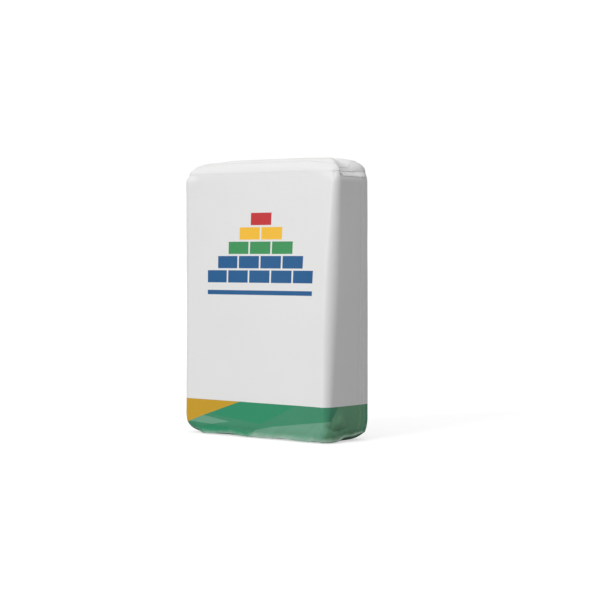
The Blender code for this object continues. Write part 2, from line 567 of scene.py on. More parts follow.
@dataclass(frozen=True)
class Columns:
    """The upright lines of the wrapped sheet, in order from the start of the front left edge."""

    across: np.ndarray
    along: np.ndarray
    angle: np.ndarray
    slide: np.ndarray
    u: np.ndarray

    WIDE_FLAT = 0.390
    NARROW_FLAT = 0.098
    CORNER_ARC = 0.0314
    SEAM_ZONE = 0.0240
    FRONT_MIDDLE = CORNER_ARC + WIDE_FLAT / 2

    # The middle of the upright edge before each side
    EDGES = {
        Side.FRONT: CORNER_ARC / 2,
        Side.RIGHT: CORNER_ARC * 1.5 + WIDE_FLAT,
        Side.BACK: CORNER_ARC * 2.5 + WIDE_FLAT + NARROW_FLAT,
        Side.LEFT: CORNER_ARC * 3.5 + 2 * WIDE_FLAT + NARROW_FLAT,
    }

    @classmethod
    def laid_out(cls, spacing: float, corner_steps: int) -> Columns:
        """Spreads the columns round the outline.

        Args:
            spacing: The distance between columns on the flats, in metres.
            corner_steps: How many steps an edge's rounding has.

        Returns:
            The columns. The last one meets the first.
        """
        rows: list[tuple[float, float, float, float, float]] = []
        u = 0.0
        corners = {Side.FRONT: (-1, -1), Side.RIGHT: (1, -1), Side.BACK: (1, 1), Side.LEFT: (-1, 1)}
        for side, (corner_x, corner_y) in corners.items():
            start = math.pi + side.value * math.pi / 2
            for step in range(corner_steps):
                share = step / corner_steps
                turn = start + share * math.pi / 2
                rows.append((corner_x, corner_y, turn, 0.0, u + share * cls.CORNER_ARC))
            u += cls.CORNER_ARC
            face = start + math.pi / 2
            wide = side in (Side.FRONT, Side.BACK)
            length = cls.WIDE_FLAT if wide else cls.NARROW_FLAT
            direction = 1 if side in (Side.FRONT, Side.RIGHT) else -1
            plain = length - (cls.SEAM_ZONE if side is Side.RIGHT else 0.0)
            steps = round(plain / spacing)
            for step in range(steps):
                share = step / steps * plain / length
                moved = direction * (2 * share - 1)
                at = (moved, corner_y) if wide else (corner_x, moved)
                rows.append((*at, face, 0.0, u + share * length))
            if side is Side.RIGHT:
                fine = np.arange(-cls.SEAM_ZONE, -0.0001, 0.0005)
                rows.extend((corner_x, 1.0, face, float(back), u + length + float(back)) for back in fine)
            u += length
        rows.append((-1, -1, 3 * math.pi, 0.0, u))
        return cls(*np.array(rows).T)

    @property
    def girth(self) -> float:
        """The length of the sheet once round the sack."""
        return float(self.u[-1])

    @property
    def on_valve_end(self) -> np.ndarray:
        """Which columns lie on the flat of the valve's end."""
        return np.abs(np.cos(self.angle) - 1) < 1e-6

    def away_from(self, place: float) -> np.ndarray:
        """How far the columns lie from a place on the sheet, the short way round."""
        return (self.u - place + self.girth / 2) % self.girth - self.girth / 2

    def near_edges(self, reach: float, sides: Sequence[Side] = tuple(Side)) -> np.ndarray:
        """1 at the middles of the upright edges before some sides, falling to 0 over a reach in metres."""
        away = [np.abs(self.away_from(self.EDGES[side])) for side in sides]
        return 1 - ramp(np.min(away, axis=0), 0.0, reach)


class Zone(Enum):
    """The parts of the sheet's profile, from the floor up."""

    UNDERSIDE = 0
    FOOT = 1
    WALL = 2
    SLIT = 3
    DOME = 4


@dataclass(frozen=True)
class Rows:
    """The level lines of the wrapped sheet, from the underside of the foot to the flat of the top.

    Each has its zone and its share of that zone, its plain height and inset, and its height on the
    unrolled sheet.
    """

    zone: np.ndarray
    share: np.ndarray
    z: np.ndarray
    inset: np.ndarray
    v: np.ndarray

    CREASE_SHARE = 0.583

    @classmethod
    def laid_out(cls, form: SackForm) -> Rows:
        """Spreads the rows over the sack's profile.

        Args:
            form: The sack's sizes.

        Returns:
            The rows.
        """
        rows = [(Zone.UNDERSIDE.value, inset, form.foot_z, inset) for inset in (0.048, 0.040, 0.034)]
        below = np.linspace(0.0, cls.CREASE_SHARE - 0.05, 7)
        crease = np.linspace(cls.CREASE_SHARE - 0.035, cls.CREASE_SHARE + 0.035, 7)
        above = np.linspace(cls.CREASE_SHARE + 0.065, 0.97, 8)
        for share in np.concatenate([below, crease, above]):
            angle = share * math.pi / 2
            z = form.foot_z + form.foot_rise * (1 - math.cos(angle))
            rows.append((Zone.FOOT.value, share, z, form.foot_inset * (1 - math.sin(angle))))
        low = np.arange(form.wall_foot_z, 0.110, 0.0027)
        middle = np.linspace(0.1125, 0.545, 98)
        high = np.linspace(0.549, form.fold_z - 0.0120, 12)
        rolled = np.linspace(form.fold_z - 0.0104, form.fold_z - 0.0012, 8)
        for z in np.concatenate([low, middle, high, rolled, [form.fold_z]]):
            rows.append((Zone.WALL.value, 0.0, z, 0.0))
        rows.append((Zone.SLIT.value, 0.0, form.fold_z + form.slit_gap, 0.0))
        rows.append((Zone.SLIT.value, 1.0, form.fold_z + 2 * form.slit_gap, 0.0))
        for share in np.concatenate([[0.0, 0.02], np.linspace(0.06, 1.0, 19)]):
            z = form.fold_z + form.dome_gap + (form.top_z - form.fold_z) * math.sin(math.pi / 2 * share)
            rows.append((Zone.DOME.value, share, z, form.dome_inset * share))
        zone, share, z, inset = np.array(rows).T
        length = np.concatenate([[0.0], np.cumsum(np.hypot(np.diff(z), np.diff(inset)))])
        wall = int(np.argmax(zone == Zone.WALL.value))
        return cls(zone, share, z, inset, length - length[wall] + z[wall])

    def of(self, *zones: Zone) -> np.ndarray:
        """Which rows lie in some zones."""
        return np.isin(self.zone, [zone.value for zone in zones])

    @property
    def foot_fold(self) -> float:
        """The height of the foot's fold on the unrolled sheet."""
        foot = self.of(Zone.FOOT)
        return float(np.interp(self.CREASE_SHARE, self.share[foot], self.v[foot]))

    @property
    def top_fold(self) -> float:
        """The height of the top's fold on the unrolled sheet."""
        return float(self.v[self.of(Zone.WALL)][-1])


class SheetNoise:
    """Smooth noise over the unrolled sheet that joins up round the sack."""

    def __init__(self, seed: int, columns: Columns) -> None:
        """Starts the noise.

        Args:
            seed: Its seed.
            columns: The sheet's upright lines.
        """
        self.random = np.random.default_rng(seed)
        self.columns = columns

    def layer(self, v: np.ndarray, cell_u: float, cell_v: float) -> np.ndarray:
        """One layer of noise.

        Args:
            v: The rows' heights on the sheet in metres, one below the other.
            cell_u: The size of its waves round the sheet.
            cell_v: The size of its waves up the sheet.

        Returns:
            Values round 0, mostly between -1 and 1, by row and column.
        """
        girth = self.columns.girth
        count_u = max(3, round(girth / cell_u))
        low = float(v.min())
        count_v = int((float(v.max()) - low) / cell_v) + 3
        lattice = self.random.uniform(-1.0, 1.0, (count_u, count_v))
        at_u = (self.columns.u / girth * count_u) % count_u
        at_v = (v - low) / cell_v
        cell_a = np.floor(at_u).astype(int) % count_u
        cell_b = np.floor(at_v).astype(int)
        share_u, share_v = at_u - np.floor(at_u), at_v - np.floor(at_v)
        share_u = share_u**3 * (share_u * (share_u * 6 - 15) + 10)
        share_v = share_v**3 * (share_v * (share_v * 6 - 15) + 10)
        next_a = (cell_a + 1) % count_u
        low_row = lattice[cell_a, cell_b] * (1 - share_u) + lattice[next_a, cell_b] * share_u
        high_row = lattice[cell_a, cell_b + 1] * (1 - share_u) + lattice[next_a, cell_b + 1] * share_u
        return low_row * (1 - share_v) + high_row * share_v


@dataclass(frozen=True)
class Crease:
    """One fold in the sheet: a sharp ridge, or a groove where its height is negative."""

    u: float
    v: float
    angle: float
    length: float
    width: float
    height: float

    def relief(self, columns: Columns, v: np.ndarray) -> np.ndarray:
        """The fold's height over the sheet.

        Args:
            columns: The sheet's upright lines.
            v: The rows' heights on the sheet, one below the other.

        Returns:
            How far each place is lifted, by row and column.
        """
        away = columns.away_from(self.u)
        up = v - self.v
        along = away * math.cos(self.angle) + up * math.sin(self.angle)
        across = up * math.cos(self.angle) - away * math.sin(self.angle)
        return self.height * np.exp(-((along / self.length) ** 2)) * np.exp(-np.abs(across) / self.width)


# Pieces


def deselect_all() -> None:
    """Leaves nothing selected, in object mode."""
    if bpy.context.mode != "OBJECT":
        bpy.ops.object.mode_set(mode="OBJECT")
    bpy.ops.object.select_all(action="DESELECT")


def select_only(piece: bpy.types.Object) -> None:
    """Selects one piece and makes it the active one.

    Args:
        piece: The piece.
    """
    deselect_all()
    piece.select_set(True)
    bpy.context.view_layer.objects.active = piece


def point_outwards(piece: bpy.types.Object) -> None:
    """Turns a piece's faces outwards, and leaves it selected in object mode.

    Args:
        piece: The piece.
    """
    select_only(piece)
    bpy.ops.object.mode_set(mode="EDIT")
    bpy.ops.mesh.select_all(action="SELECT")
    bpy.ops.mesh.normals_make_consistent(inside=False)
    bpy.ops.object.mode_set(mode="OBJECT")


class SheetGrid:
    """A new piece at the origin, a flat grid whose points are then moved by row and column."""

    def __init__(self, name: str, columns: int, rows: int) -> None:
        """Adds the grid, with its UV map, and finds which point lies on which line.

        Args:
            name: The piece's name.
            columns: The number of lines across.
            rows: The number of lines up.
        """
        deselect_all()
        bpy.ops.mesh.primitive_grid_add(x_subdivisions=columns - 1, y_subdivisions=rows - 1, size=1.0)
        self.piece = bpy.context.object
        self.piece.name = self.piece.data.name = name
        flat = np.empty(columns * rows * 3)
        self.piece.data.vertices.foreach_get("co", flat)
        flat = flat.reshape(-1, 3)
        column = np.rint((flat[:, 0] + 0.5) * (columns - 1)).astype(int)
        row = np.rint((flat[:, 1] + 0.5) * (rows - 1)).astype(int)
        self.order = np.empty((rows, columns), dtype=int)
        self.order[row, column] = np.arange(len(flat))

    def in_order(self, values: np.ndarray) -> np.ndarray:
        """Puts values in the order of the mesh's points.

        Args:
            values: Values by row and column, each a place or a direction.

        Returns:
            One row of numbers for each point.
        """
        flat = np.empty((self.order.size, values.shape[-1]))
        flat[self.order.ravel()] = values.reshape(flat.shape)
        return flat

    def shape(self, points: np.ndarray) -> None:
        """Moves the points to their places, which are given by row and column."""
        self.piece.data.vertices.foreach_set("co", self.in_order(points).ravel())
        self.piece.data.update()

    def unroll(self, u: np.ndarray, v: np.ndarray) -> None:
        """Gives the UV map the places on the unrolled sheet.

        Args:
            u: Places round the sheet, by row and column.
            v: Heights on the sheet, by row and column.
        """
        mesh = self.piece.data
        corner = np.empty(len(mesh.loops), dtype=np.int32)
        mesh.loops.foreach_get("vertex_index", corner)
        places = self.in_order(np.stack([u, v], axis=-1))
        mesh.uv_layers["UVMap"].data.foreach_set("uv", places[corner].ravel())

    def thicken(self, sheet: float, outward: float) -> None:
        """Gives the sheet its thickness.

        Args:
            sheet: The thickness.
            outward: 1 to grow along its normals, 0 both ways.
        """
        solid = self.piece.modifiers.new("thickness", "SOLIDIFY")
        solid.thickness = sheet
        solid.offset = outward
        select_only(self.piece)
        bpy.ops.object.modifier_apply(modifier=solid.name)


def normals_of(points: np.ndarray) -> np.ndarray:
    """Outward directions of a wrapped grid whose last column meets its first.

    Args:
        points: The grid's places, by row and column.

    Returns:
        Unit directions, by row and column.
    """
    round_it = np.empty_like(points)
    round_it[:, 1:-1] = points[:, 2:] - points[:, :-2]
    round_it[:, 0] = round_it[:, -1] = points[:, 1] - points[:, -2]
    normal = np.cross(round_it, np.gradient(points, axis=0))
    length = np.linalg.norm(normal, axis=-1, keepdims=True)
    return normal / np.maximum(length, 1e-12)


@dataclass(frozen=True)
class FootFold:
    """Where the sheet folds under the sack, along one side or edge."""

    inset: float
    height: float


@dataclass(frozen=True)
class TopFold:
    """How the sheet folds over the top, along one side or edge.

    The sheet goes in by roll_in at the fold, then rises by rise while it runs in to run. It does so
    in a straight slope where fullness is 1, in a round arc at 2 and ever more boxy above that.
    """

    roll_in: float
    rise: float
    run: float
    fullness: float


def by_side(*folds: Any) -> Any:
    """A field that holds one fold for each side, in the order of Side."""
    return field(default_factory=lambda: dict(zip(Side, folds)))


Curve = tuple[tuple[float, float], ...]


def height_on(curve: Curve, places: np.ndarray, **beyond: float) -> np.ndarray:
    """Heights on a curve of straight stretches, with its end values, or others, beyond its ends."""
    return np.interp(places, *zip(*curve), **beyond)


@dataclass
class SackShell:
    """The filled tube: one web of sheet wrapped round the cement, with its ends folded in.

    Sizes are in metres. The flap's step and the valve end's reach and fade are in degrees round the
    upright edge beside them, and the dome's overhang is a share of the roll-in.
    """

    form: SackForm
    spacing: float = 0.0030
    corner_steps: int = 19
    lowest: float = 0.0004
    slit_height: float = 0.0004
    slit_depth: float = 0.0044
    slit_half_width: float = 0.0435
    slit_fade: float = 0.004
    dome_overhang: float = 0.08
    groove_depth: float = 0.0005
    valve_end_bulge: float = 0.065
    seam_near: float = 0.0218
    seam_far: float = 0.0083
    seam_lift: float = 0.0007
    wide_dents: float = 0.0011
    small_dents: float = 0.00040
    faint_fold: float = 0.0011
    faint_groove: float = 0.0008
    crumples: int = 150
    crumple_height: float = 0.0018
    puckers: int = 90
    flap_step: float = 22.0
    flap_step_gain: float = 45.0
    valve_end_reach: float = 44.0
    valve_end_fade: float = 24.0
    weld: float = 0.000002
    seed: int = 11
    edge_pull_reach: tuple[float, float] = (0.0036, 0.0064)

    # How much of its roll-in a wall has at heights under the top fold
    roll: Curve = (
        (-0.0215, 0.0),
        (-0.0190, 0.018),
        (-0.0165, 0.045),
        (-0.0145, 0.080),
        (-0.0128, 0.125),
        (-0.0113, 0.180),
        (-0.0100, 0.255),
        (-0.0085, 0.360),
        (-0.0055, 0.600),
        (-0.0027, 0.810),
        (0.0, 1.0),
    )

    # How far the foot's fold is lifted at places along the front
    front_lift: Curve = (
        (0.030, 0.0000),
        (0.050, -0.0013),
        (0.080, -0.0011),
        (0.110, 0.0006),
        (0.150, 0.0030),
        (0.180, 0.0000),
        (0.240, -0.0009),
        (0.300, 0.0009),
        (0.345, 0.0002),
        (0.400, -0.0014),
    )

    # How far the sheet stands out on the two ends, at heights over the foot's fold
    end_fold: Curve = (
        (-0.0050, 0.0),
        (-0.0020, 0.0010),
        (0.0000, 0.0020),
        (0.0010, 0.0018),
        (0.0048, -0.0026),
        (0.0060, -0.0032),
        (0.0075, -0.0031),
        (0.0120, -0.0020),
        (0.0190, -0.0008),
        (0.0290, 0.0),
    )

    # How much of its pull the edge between the front and the valve's end has at heights
    edge_pull: Curve = (
        (0.030, 0.0),
        (0.075, 1.0),
        (0.200, 1.0),
        (0.390, 0.9),
        (0.510, 0.65),
        (0.585, 0.45),
        (0.610, 0.25),
    )

    # The tucks by the foot's near corner: each one's place past the edge, then the rest of its crease
    corner_tucks: tuple[tuple[float, ...], ...] = (
        (0.006, 0.0330, -0.60, 0.010, 0.0045, -0.0040),
        (0.026, 0.0275, -0.05, 0.014, 0.0045, -0.0050),
        (0.048, 0.0290, 0.25, 0.014, 0.0045, -0.0036),
        (0.034, 0.0460, 1.62, 0.015, 0.0100, 0.0056),
        (0.013, 0.0480, 1.50, 0.015, 0.0075, -0.0036),
        (0.056, 0.0440, 1.80, 0.016, 0.0080, -0.0018),
        (-0.024, 0.0360, 1.25, 0.018, 0.0070, 0.0014),
        (-0.040, 0.0300, 0.60, 0.018, 0.0060, -0.0014),
    )

    foot_folds: dict[Side, FootFold] = by_side(
        FootFold(0.0020, 0.0030),
        FootFold(0.0046, 0.0108),
        FootFold(0.0026, 0.0045),
        FootFold(0.0046, 0.0095),
    )
    edge_foot_folds: dict[Side, FootFold] = by_side(
        FootFold(0.0076, 0.0090),
        FootFold(0.0036, 0.0038),
        FootFold(0.0016, 0.0165),
        FootFold(0.0055, 0.0100),
    )
    side_top_fold: TopFold = TopFold(0.0012, 0.0319, 0.040, 1.9)
    valve_top_fold: TopFold = TopFold(0.0138, 0.0312, 0.060, 1.06)
    edge_top_folds: dict[Side, TopFold] = by_side(
        TopFold(0.0058, 0.0280, 0.040, 1.85),
        TopFold(0.0036, 0.0310, 0.046, 1.50),
        TopFold(0.0034, 0.0304, 0.040, 2.25),
        TopFold(0.0020, 0.0285, 0.040, 2.2),
    )

    def __post_init__(self) -> None:
        """Lays out the sheet's lines and starts its noise."""
        self.columns = Columns.laid_out(self.spacing, self.corner_steps)
        self.rows = Rows.laid_out(self.form)
        self.v = self.rows.v[:, None]
        self.noise = SheetNoise(self.seed, self.columns)

    def round_the_sack(
        self, flats: dict[Side, Any], edges: dict[Side, Any], size: str, reach: float, end_reach: float
    ) -> np.ndarray:
        """Runs one size of the folds round the sack.

        Args:
            flats: The fold on each side.
            edges: The fold at the upright edge before each side.
            size: The name of the size.
            reach: How far an edge's value reaches along the sides.
            end_reach: How far it reaches along the valve's end.

        Returns:
            The size at each column.
        """
        columns, half_arc = self.columns, Columns.CORNER_ARC / 2
        reaches = np.where(columns.on_valve_end, end_reach, reach)
        value = np.zeros_like(columns.u)
        for side, middle in columns.EDGES.items():
            value[columns.u >= middle - half_arc] = getattr(flats[side], size)
        for side, middle in columns.EDGES.items():
            away = np.abs(columns.away_from(middle))
            value = value + (getattr(edges[side], size) - value) * eased(1 - (away - half_arc) / reaches)
        return value

    def foot_profile(self) -> tuple[np.ndarray, np.ndarray]:
        """Finds where the foot's rows lie.

        Returns:
            Their heights and their insets, by row and column.
        """
        form = self.form
        inset, height = (
            self.round_the_sack(self.foot_folds, self.edge_foot_folds, size, 0.036, 0.036)
            for size in ("inset", "height")
        )
        height = height + height_on(self.front_lift, self.columns.u, left=0.0, right=0.0)
        share = self.rows.share[self.rows.of(Zone.FOOT)][:, None]
        low = ramp(share, 0.0, Rows.CREASE_SHARE)
        high = ramp(share, Rows.CREASE_SHARE, 1 - Rows.CREASE_SHARE)
        belly = inset + 0.38 * (form.foot_inset - inset)
        low_inset = (1 - low) ** 2 * form.foot_inset + 2 * low * (1 - low) * belly + low**2 * inset
        low_z = low**2 * height
        high_inset = (1 - high) ** 2 * inset
        knee = height + 0.44 * (form.foot_rise - height)
        high_z = (1 - high) ** 2 * height + 2 * high * (1 - high) * knee + high**2 * form.foot_rise
        below = share <= Rows.CREASE_SHARE
        return form.foot_z + np.where(below, low_z, high_z), np.where(below, low_inset, high_inset)

    def top_sizes(self, valve_fold: TopFold, near_fold: TopFold) -> tuple[np.ndarray, ...]:
        """Runs the top fold's sizes round the sack.

        Args:
            valve_fold: The fold to take on the valve's end.
            near_fold: The fold to take at the edge between the front and the valve's end.

        Returns:
            The roll-in, the rise, the run and the fullness at each column.
        """
        flats = {**dict.fromkeys(Side, self.side_top_fold), Side.RIGHT: valve_fold}
        edges = {**self.edge_top_folds, Side.RIGHT: near_fold}
        run_reach = 0.030
        if valve_fold is self.valve_top_fold:
            edges[Side.BACK] = replace(edges[Side.BACK], run=valve_fold.run)
            run_reach = 0.100
        reaches = {
            "roll_in": (0.034, 0.030),
            "rise": (0.090, 0.090),
            "run": (run_reach, 0.030),
            "fullness": (0.100, 0.046),
        }
        return tuple(self.round_the_sack(flats, edges, size, *reach) for size, reach in reaches.items())

    def front_flap(self, up: np.ndarray) -> np.ndarray:
        """Finds where the front's flap lies over the valve end's.

        The step between them is sharp at the fold and wide at the top.

        Args:
            up: How far up the dome the places are, from 0 to 1.

        Returns:
            1 on the front and 0 on the end, by row and column.
        """
        from_end = 360 - np.degrees(self.columns.angle)[None, :]
        return eased(from_end / (self.flap_step + self.flap_step_gain * up[:, None]))

    def roll_in(self, valve_fold: TopFold) -> np.ndarray:
        """How far the walls' top rolls in at each column."""
        front, end = (
            self.top_sizes(valve_fold, fold)[0] for fold in (self.edge_top_folds[Side.RIGHT], valve_fold)
        )
        return end + (front - end) * self.front_flap(np.zeros(1))[0]

    def valve_end(self) -> np.ndarray:
        """1 on the valve's end and the near halves of its edges, falling to 0 past them."""
        from_end = np.degrees(np.abs((self.columns.angle + np.pi) % (2 * np.pi) - np.pi))
        return eased((self.valve_end_reach - from_end) / self.valve_end_fade)

    def top_profile(self, valve_fold: TopFold) -> tuple[np.ndarray, np.ndarray]:
        """Finds where the slit's and the dome's rows lie.

        Args:
            valve_fold: The fold to take on the valve's end.

        Returns:
            Their heights and their insets, by row and column.
        """
        rows = self.rows
        up = np.where(rows.of(Zone.DOME), rows.share, 0.0)[rows.of(Zone.SLIT, Zone.DOME)]
        flap = self.front_flap(up)
        front, end = (
            self.fold_profile(*self.top_sizes(valve_fold, fold))
            for fold in (self.edge_top_folds[Side.RIGHT], valve_fold)
        )
        return end[0] + (front[0] - end[0]) * flap, end[1] + (front[1] - end[1]) * flap

    def fold_profile(
        self, roll_in: np.ndarray, rise: np.ndarray, run: np.ndarray, fullness: np.ndarray
    ) -> tuple[np.ndarray, np.ndarray]:
        """Finds where the slit's and the dome's rows lie for one set of sizes.

        Args:
            roll_in: How far the sheet goes in at the fold, by column.
            rise: How far it rises over the fold, by column.
            run: How far in the rise ends, by column.
            fullness: How boxy the rise is, by column.

        Returns:
            The heights and the insets, by row and column.
        """
        form, columns, rows = self.form, self.columns, self.rows
        opened = self.valve_end() * self.slit_height
        half_flat = form.depth_top / 2 - form.edge_radius
        y = np.where(columns.on_valve_end, columns.along * half_flat + columns.slide, 1.0)
        mouth = ramp(np.abs(y), self.slit_half_width, -self.slit_fade)
        deep = self.groove_depth * self.valve_end() + mouth * (self.slit_depth - self.groove_depth)
        slit = rows.share[rows.of(Zone.SLIT)][:, None]
        slit_z = form.fold_z + form.slit_gap + slit * (form.slit_gap + opened)
        slit_inset = roll_in + deep + 0 * slit
        arc = np.pi / 2 * rows.share[rows.of(Zone.DOME)][:, None]
        dome_z = form.fold_z + form.dome_gap + opened + (rise - opened) * np.sin(arc) ** (2 / fullness)
        start = roll_in * (1 - self.dome_overhang * self.valve_end())
        dome_inset = start + (run - start) * (1 - np.maximum(np.cos(arc), 0.0) ** (2 / fullness))
        return np.vstack([slit_z, dome_z]), np.vstack([slit_inset, dome_inset])

    def smooth_points(self) -> np.ndarray:
        """Finds the sack's form without its small folds and dents.

        Returns:
            Places by row and column.
        """
        form, columns, rows = self.form, self.columns, self.rows
        z = rows.z[:, None] + 0 * columns.u
        inset = rows.inset[:, None] + 0 * columns.u
        foot, wall, dome = rows.of(Zone.FOOT), rows.of(Zone.WALL), rows.of(Zone.DOME)
        top = rows.of(Zone.SLIT, Zone.DOME)
        z[foot], inset[foot] = self.foot_profile()
        rolled = height_on(self.roll, rows.z[wall] - form.fold_z)[:, None]
        inset_y = inset.copy()
        for target, fold in ((inset_y, self.edge_top_folds[Side.RIGHT]), (inset, self.valve_top_fold)):
            target[wall] = self.roll_in(fold) * rolled
            z[top], target[top] = self.top_profile(fold)
        half_x = form.width / 2 - inset
        half_y = form.half_depth(z) - inset_y
        radius = np.minimum(form.corner_radius(z), half_y)
        room = half_y - radius
        slide = columns.slide * ramp(room, 0.0, form.depth_top / 2 - form.edge_radius)
        x = columns.across * (half_x - radius) + radius * np.cos(columns.angle)
        y = columns.along * room + radius * np.sin(columns.angle) + slide
        across, along = x / half_x, y / half_y
        full = form.fullness(z)
        y = y + np.copysign(form.face_crown * full * (1 - across**2) * along**2, y)
        x = x + np.copysign(form.side_crown * full * (1 - along**2) * across**4, x)
        y = y * (1 + self.valve_end_bulge * full * ramp(across, -0.3, 1.3) ** 2)
        near_edge = ramp(across, 0.4, 0.6) ** 2 * ramp(along, 0.3, -1.3) ** 2
        pulled = height_on(self.edge_pull, z) * near_edge
        x = x - self.edge_pull_reach[0] * pulled
        y = y - self.edge_pull_reach[1] * pulled
        over = inset[dome]
        shifted = np.zeros_like(z)
        shifted[dome] = (over - over[0]) / (over[-1] - over[0])
        x = x + form.dome_shift * shifted * (0.5 - 0.5 * across)
        return np.stack([*form.turned(x, y, form.top_turn * form.wall_share(z)), z], axis=-1)

    def relief(self, z: np.ndarray) -> np.ndarray:
        """Works out the sheet's small folds, dents and seam.

        Args:
            z: Heights over the floor, by row and column.

        Returns:
            How far each place is moved outwards.
        """
        walls = ramp(z, 0.03, 0.05) * ramp(z, 0.585, -0.05)
        moved = self.noise.layer(self.v, 0.16, 0.20) * self.wide_dents * walls
        moved += self.noise.layer(self.v, 0.060, 0.075) * self.small_dents * walls
        moved += self.foot_relief(z)
        moved += self.top_relief()
        moved += self.seam_relief(z)
        return moved * self.free_share()[:, None]

    def free_share(self) -> np.ndarray:
        """Finds where the sheet may move.

        Returns:
            1 for free rows, 0 for the underside, the slit and the top's flat.
        """
        rows = self.rows
        free = np.where(rows.of(Zone.UNDERSIDE, Zone.SLIT), 0.0, 1.0)
        foot, dome = rows.of(Zone.FOOT), rows.of(Zone.DOME)
        free[foot] = ramp(rows.share[foot], 0.0, 0.25)
        free[dome] = ramp(rows.share[dome], 1.0, -0.10)
        return free

    def foot_relief(self, z: np.ndarray) -> np.ndarray:
        """Works out the folds of the foot, where the slack end of the sheet is pressed by the load.

        Args:
            z: Heights over the floor, by row and column.

        Returns:
            How far each place is moved outwards.
        """
        columns, v, draw = self.columns, self.v, self.noise.random
        above = v - self.rows.foot_fold
        strength = 1 + 0.35 * self.noise.layer(v * 0, 0.03, 1.0)
        faint = np.where(above > 0, np.exp(-above / 0.0050), np.exp(above / 0.0018)) * self.faint_fold
        faint = faint - self.faint_groove * np.exp(-(((above - 0.0090) / 0.0045) ** 2))
        clear = height_on(self.end_fold, above)
        smooth_edges = columns.near_edges(0.04, (Side.FRONT, Side.BACK))
        ends = ramp(np.abs(np.cos(columns.angle)), 0.3, 0.5)
        ends = ends * np.where(np.cos(columns.angle) > 0, 1.0, 0.45) * (1 - smooth_edges)
        moved = (faint + (clear - faint) * ends) * strength * (1 - 0.8 * smooth_edges)
        crumple = np.zeros_like(z)
        for _ in range(self.crumples):
            crumple += Crease(
                u=draw.uniform(0, columns.girth),
                v=0.004 + abs(draw.normal(0, 0.018)),
                angle=draw.choice([-1, 1]) * draw.uniform(0.15, 1.1),
                length=draw.uniform(0.012, 0.034),
                width=draw.uniform(0.0028, 0.0065),
                height=draw.uniform(-self.crumple_height, self.crumple_height),
            ).relief(columns, v)
        slack = 1 - ramp(z, 0.010, 0.055)
        moved += crumple * slack * (0.60 + 0.60 * columns.near_edges(0.035)) * (1 - 0.8 * smooth_edges)
        for past_edge, *shape in self.corner_tucks:
            moved += Crease(Columns.EDGES[Side.RIGHT] + past_edge, *shape).relief(columns, v)
        return moved

    def top_relief(self) -> np.ndarray:
        """Works out the top fold's edge, the small puckers on both sides of it and one dimple.

        Returns:
            How far each place is moved outwards.
        """
        columns, v, draw = self.columns, self.v, self.noise.random
        fold = self.rows.top_fold
        edge = np.exp(-(((v - fold) / 0.0070) ** 2)) * 0.00015 * (1 - self.valve_end())
        puckers = np.zeros_like(edge)
        for _ in range(self.puckers):
            puckers += Crease(
                u=draw.uniform(0, columns.girth),
                v=fold + draw.normal(0.004, 0.014),
                angle=math.pi / 2 + draw.normal(0, 0.45),
                length=draw.uniform(0.006, 0.022),
                width=draw.uniform(0.003, 0.006),
                height=draw.uniform(-0.0006, 0.0005),
            ).relief(columns, v)
        near = np.exp(-(((v - fold) / 0.030) ** 2))
        dimple = Crease(Columns.EDGES[Side.RIGHT] - 0.007, fold - 0.007, 1.5, 0.009, 0.0070, -0.0020)
        moved = edge + puckers * near * (0.5 + 0.7 * columns.near_edges(0.03))
        return moved + dimple.relief(columns, v)

    def seam_relief(self, z: np.ndarray) -> np.ndarray:
        """Works out the overlap of the tube's glued seam, on the valve side near its back edge.

        Args:
            z: Heights over the floor, by row and column.

        Returns:
            How far each place is moved outwards.
        """
        columns = self.columns
        back = np.where(columns.on_valve_end & (columns.slide < 0), columns.slide, -1.0)
        inside = (back > -self.seam_near) & (back < -self.seam_far)
        before = (back <= -self.seam_near) & (back > -self.seam_near - 0.0016)
        groove = np.exp(-(((back + self.seam_far + 0.0032) / 0.0012) ** 2))
        ridge = np.exp(-(((back + self.seam_far + 0.0004) / 0.0012) ** 2))
        after = np.exp(-(((back + self.seam_far - 0.0042) / 0.0022) ** 2))
        step = np.where(inside, 0.8, 0.0) - np.where(before, 0.6, 0.0)
        step = step + np.where(back > -1.0, ridge * 0.9 - groove * 0.9 - after * 1.1, 0.0)
        low = ramp(z, 0.004, 0.004) * ramp(z, self.form.fold_z - 0.006, -0.006)
        return step[None, :] * low * self.seam_lift

    def build(self) -> bpy.types.Object:
        """Makes the shell.

        Returns:
            The finished piece.
        """
        smooth = self.smooth_points()
        moved = self.relief(smooth[:, :, 2])
        points = smooth + normals_of(smooth) * moved[:, :, None]
        points[:, :, 2] = np.maximum(points[:, :, 2], self.lowest)
        points[:, -1] = points[:, 0]
        grid = SheetGrid("sack_shell", len(self.columns.u), len(self.rows.z))
        grid.shape(points)
        grid.unroll(*np.broadcast_arrays(self.columns.u, self.v))
        self.close(grid.piece)
        return grid.piece

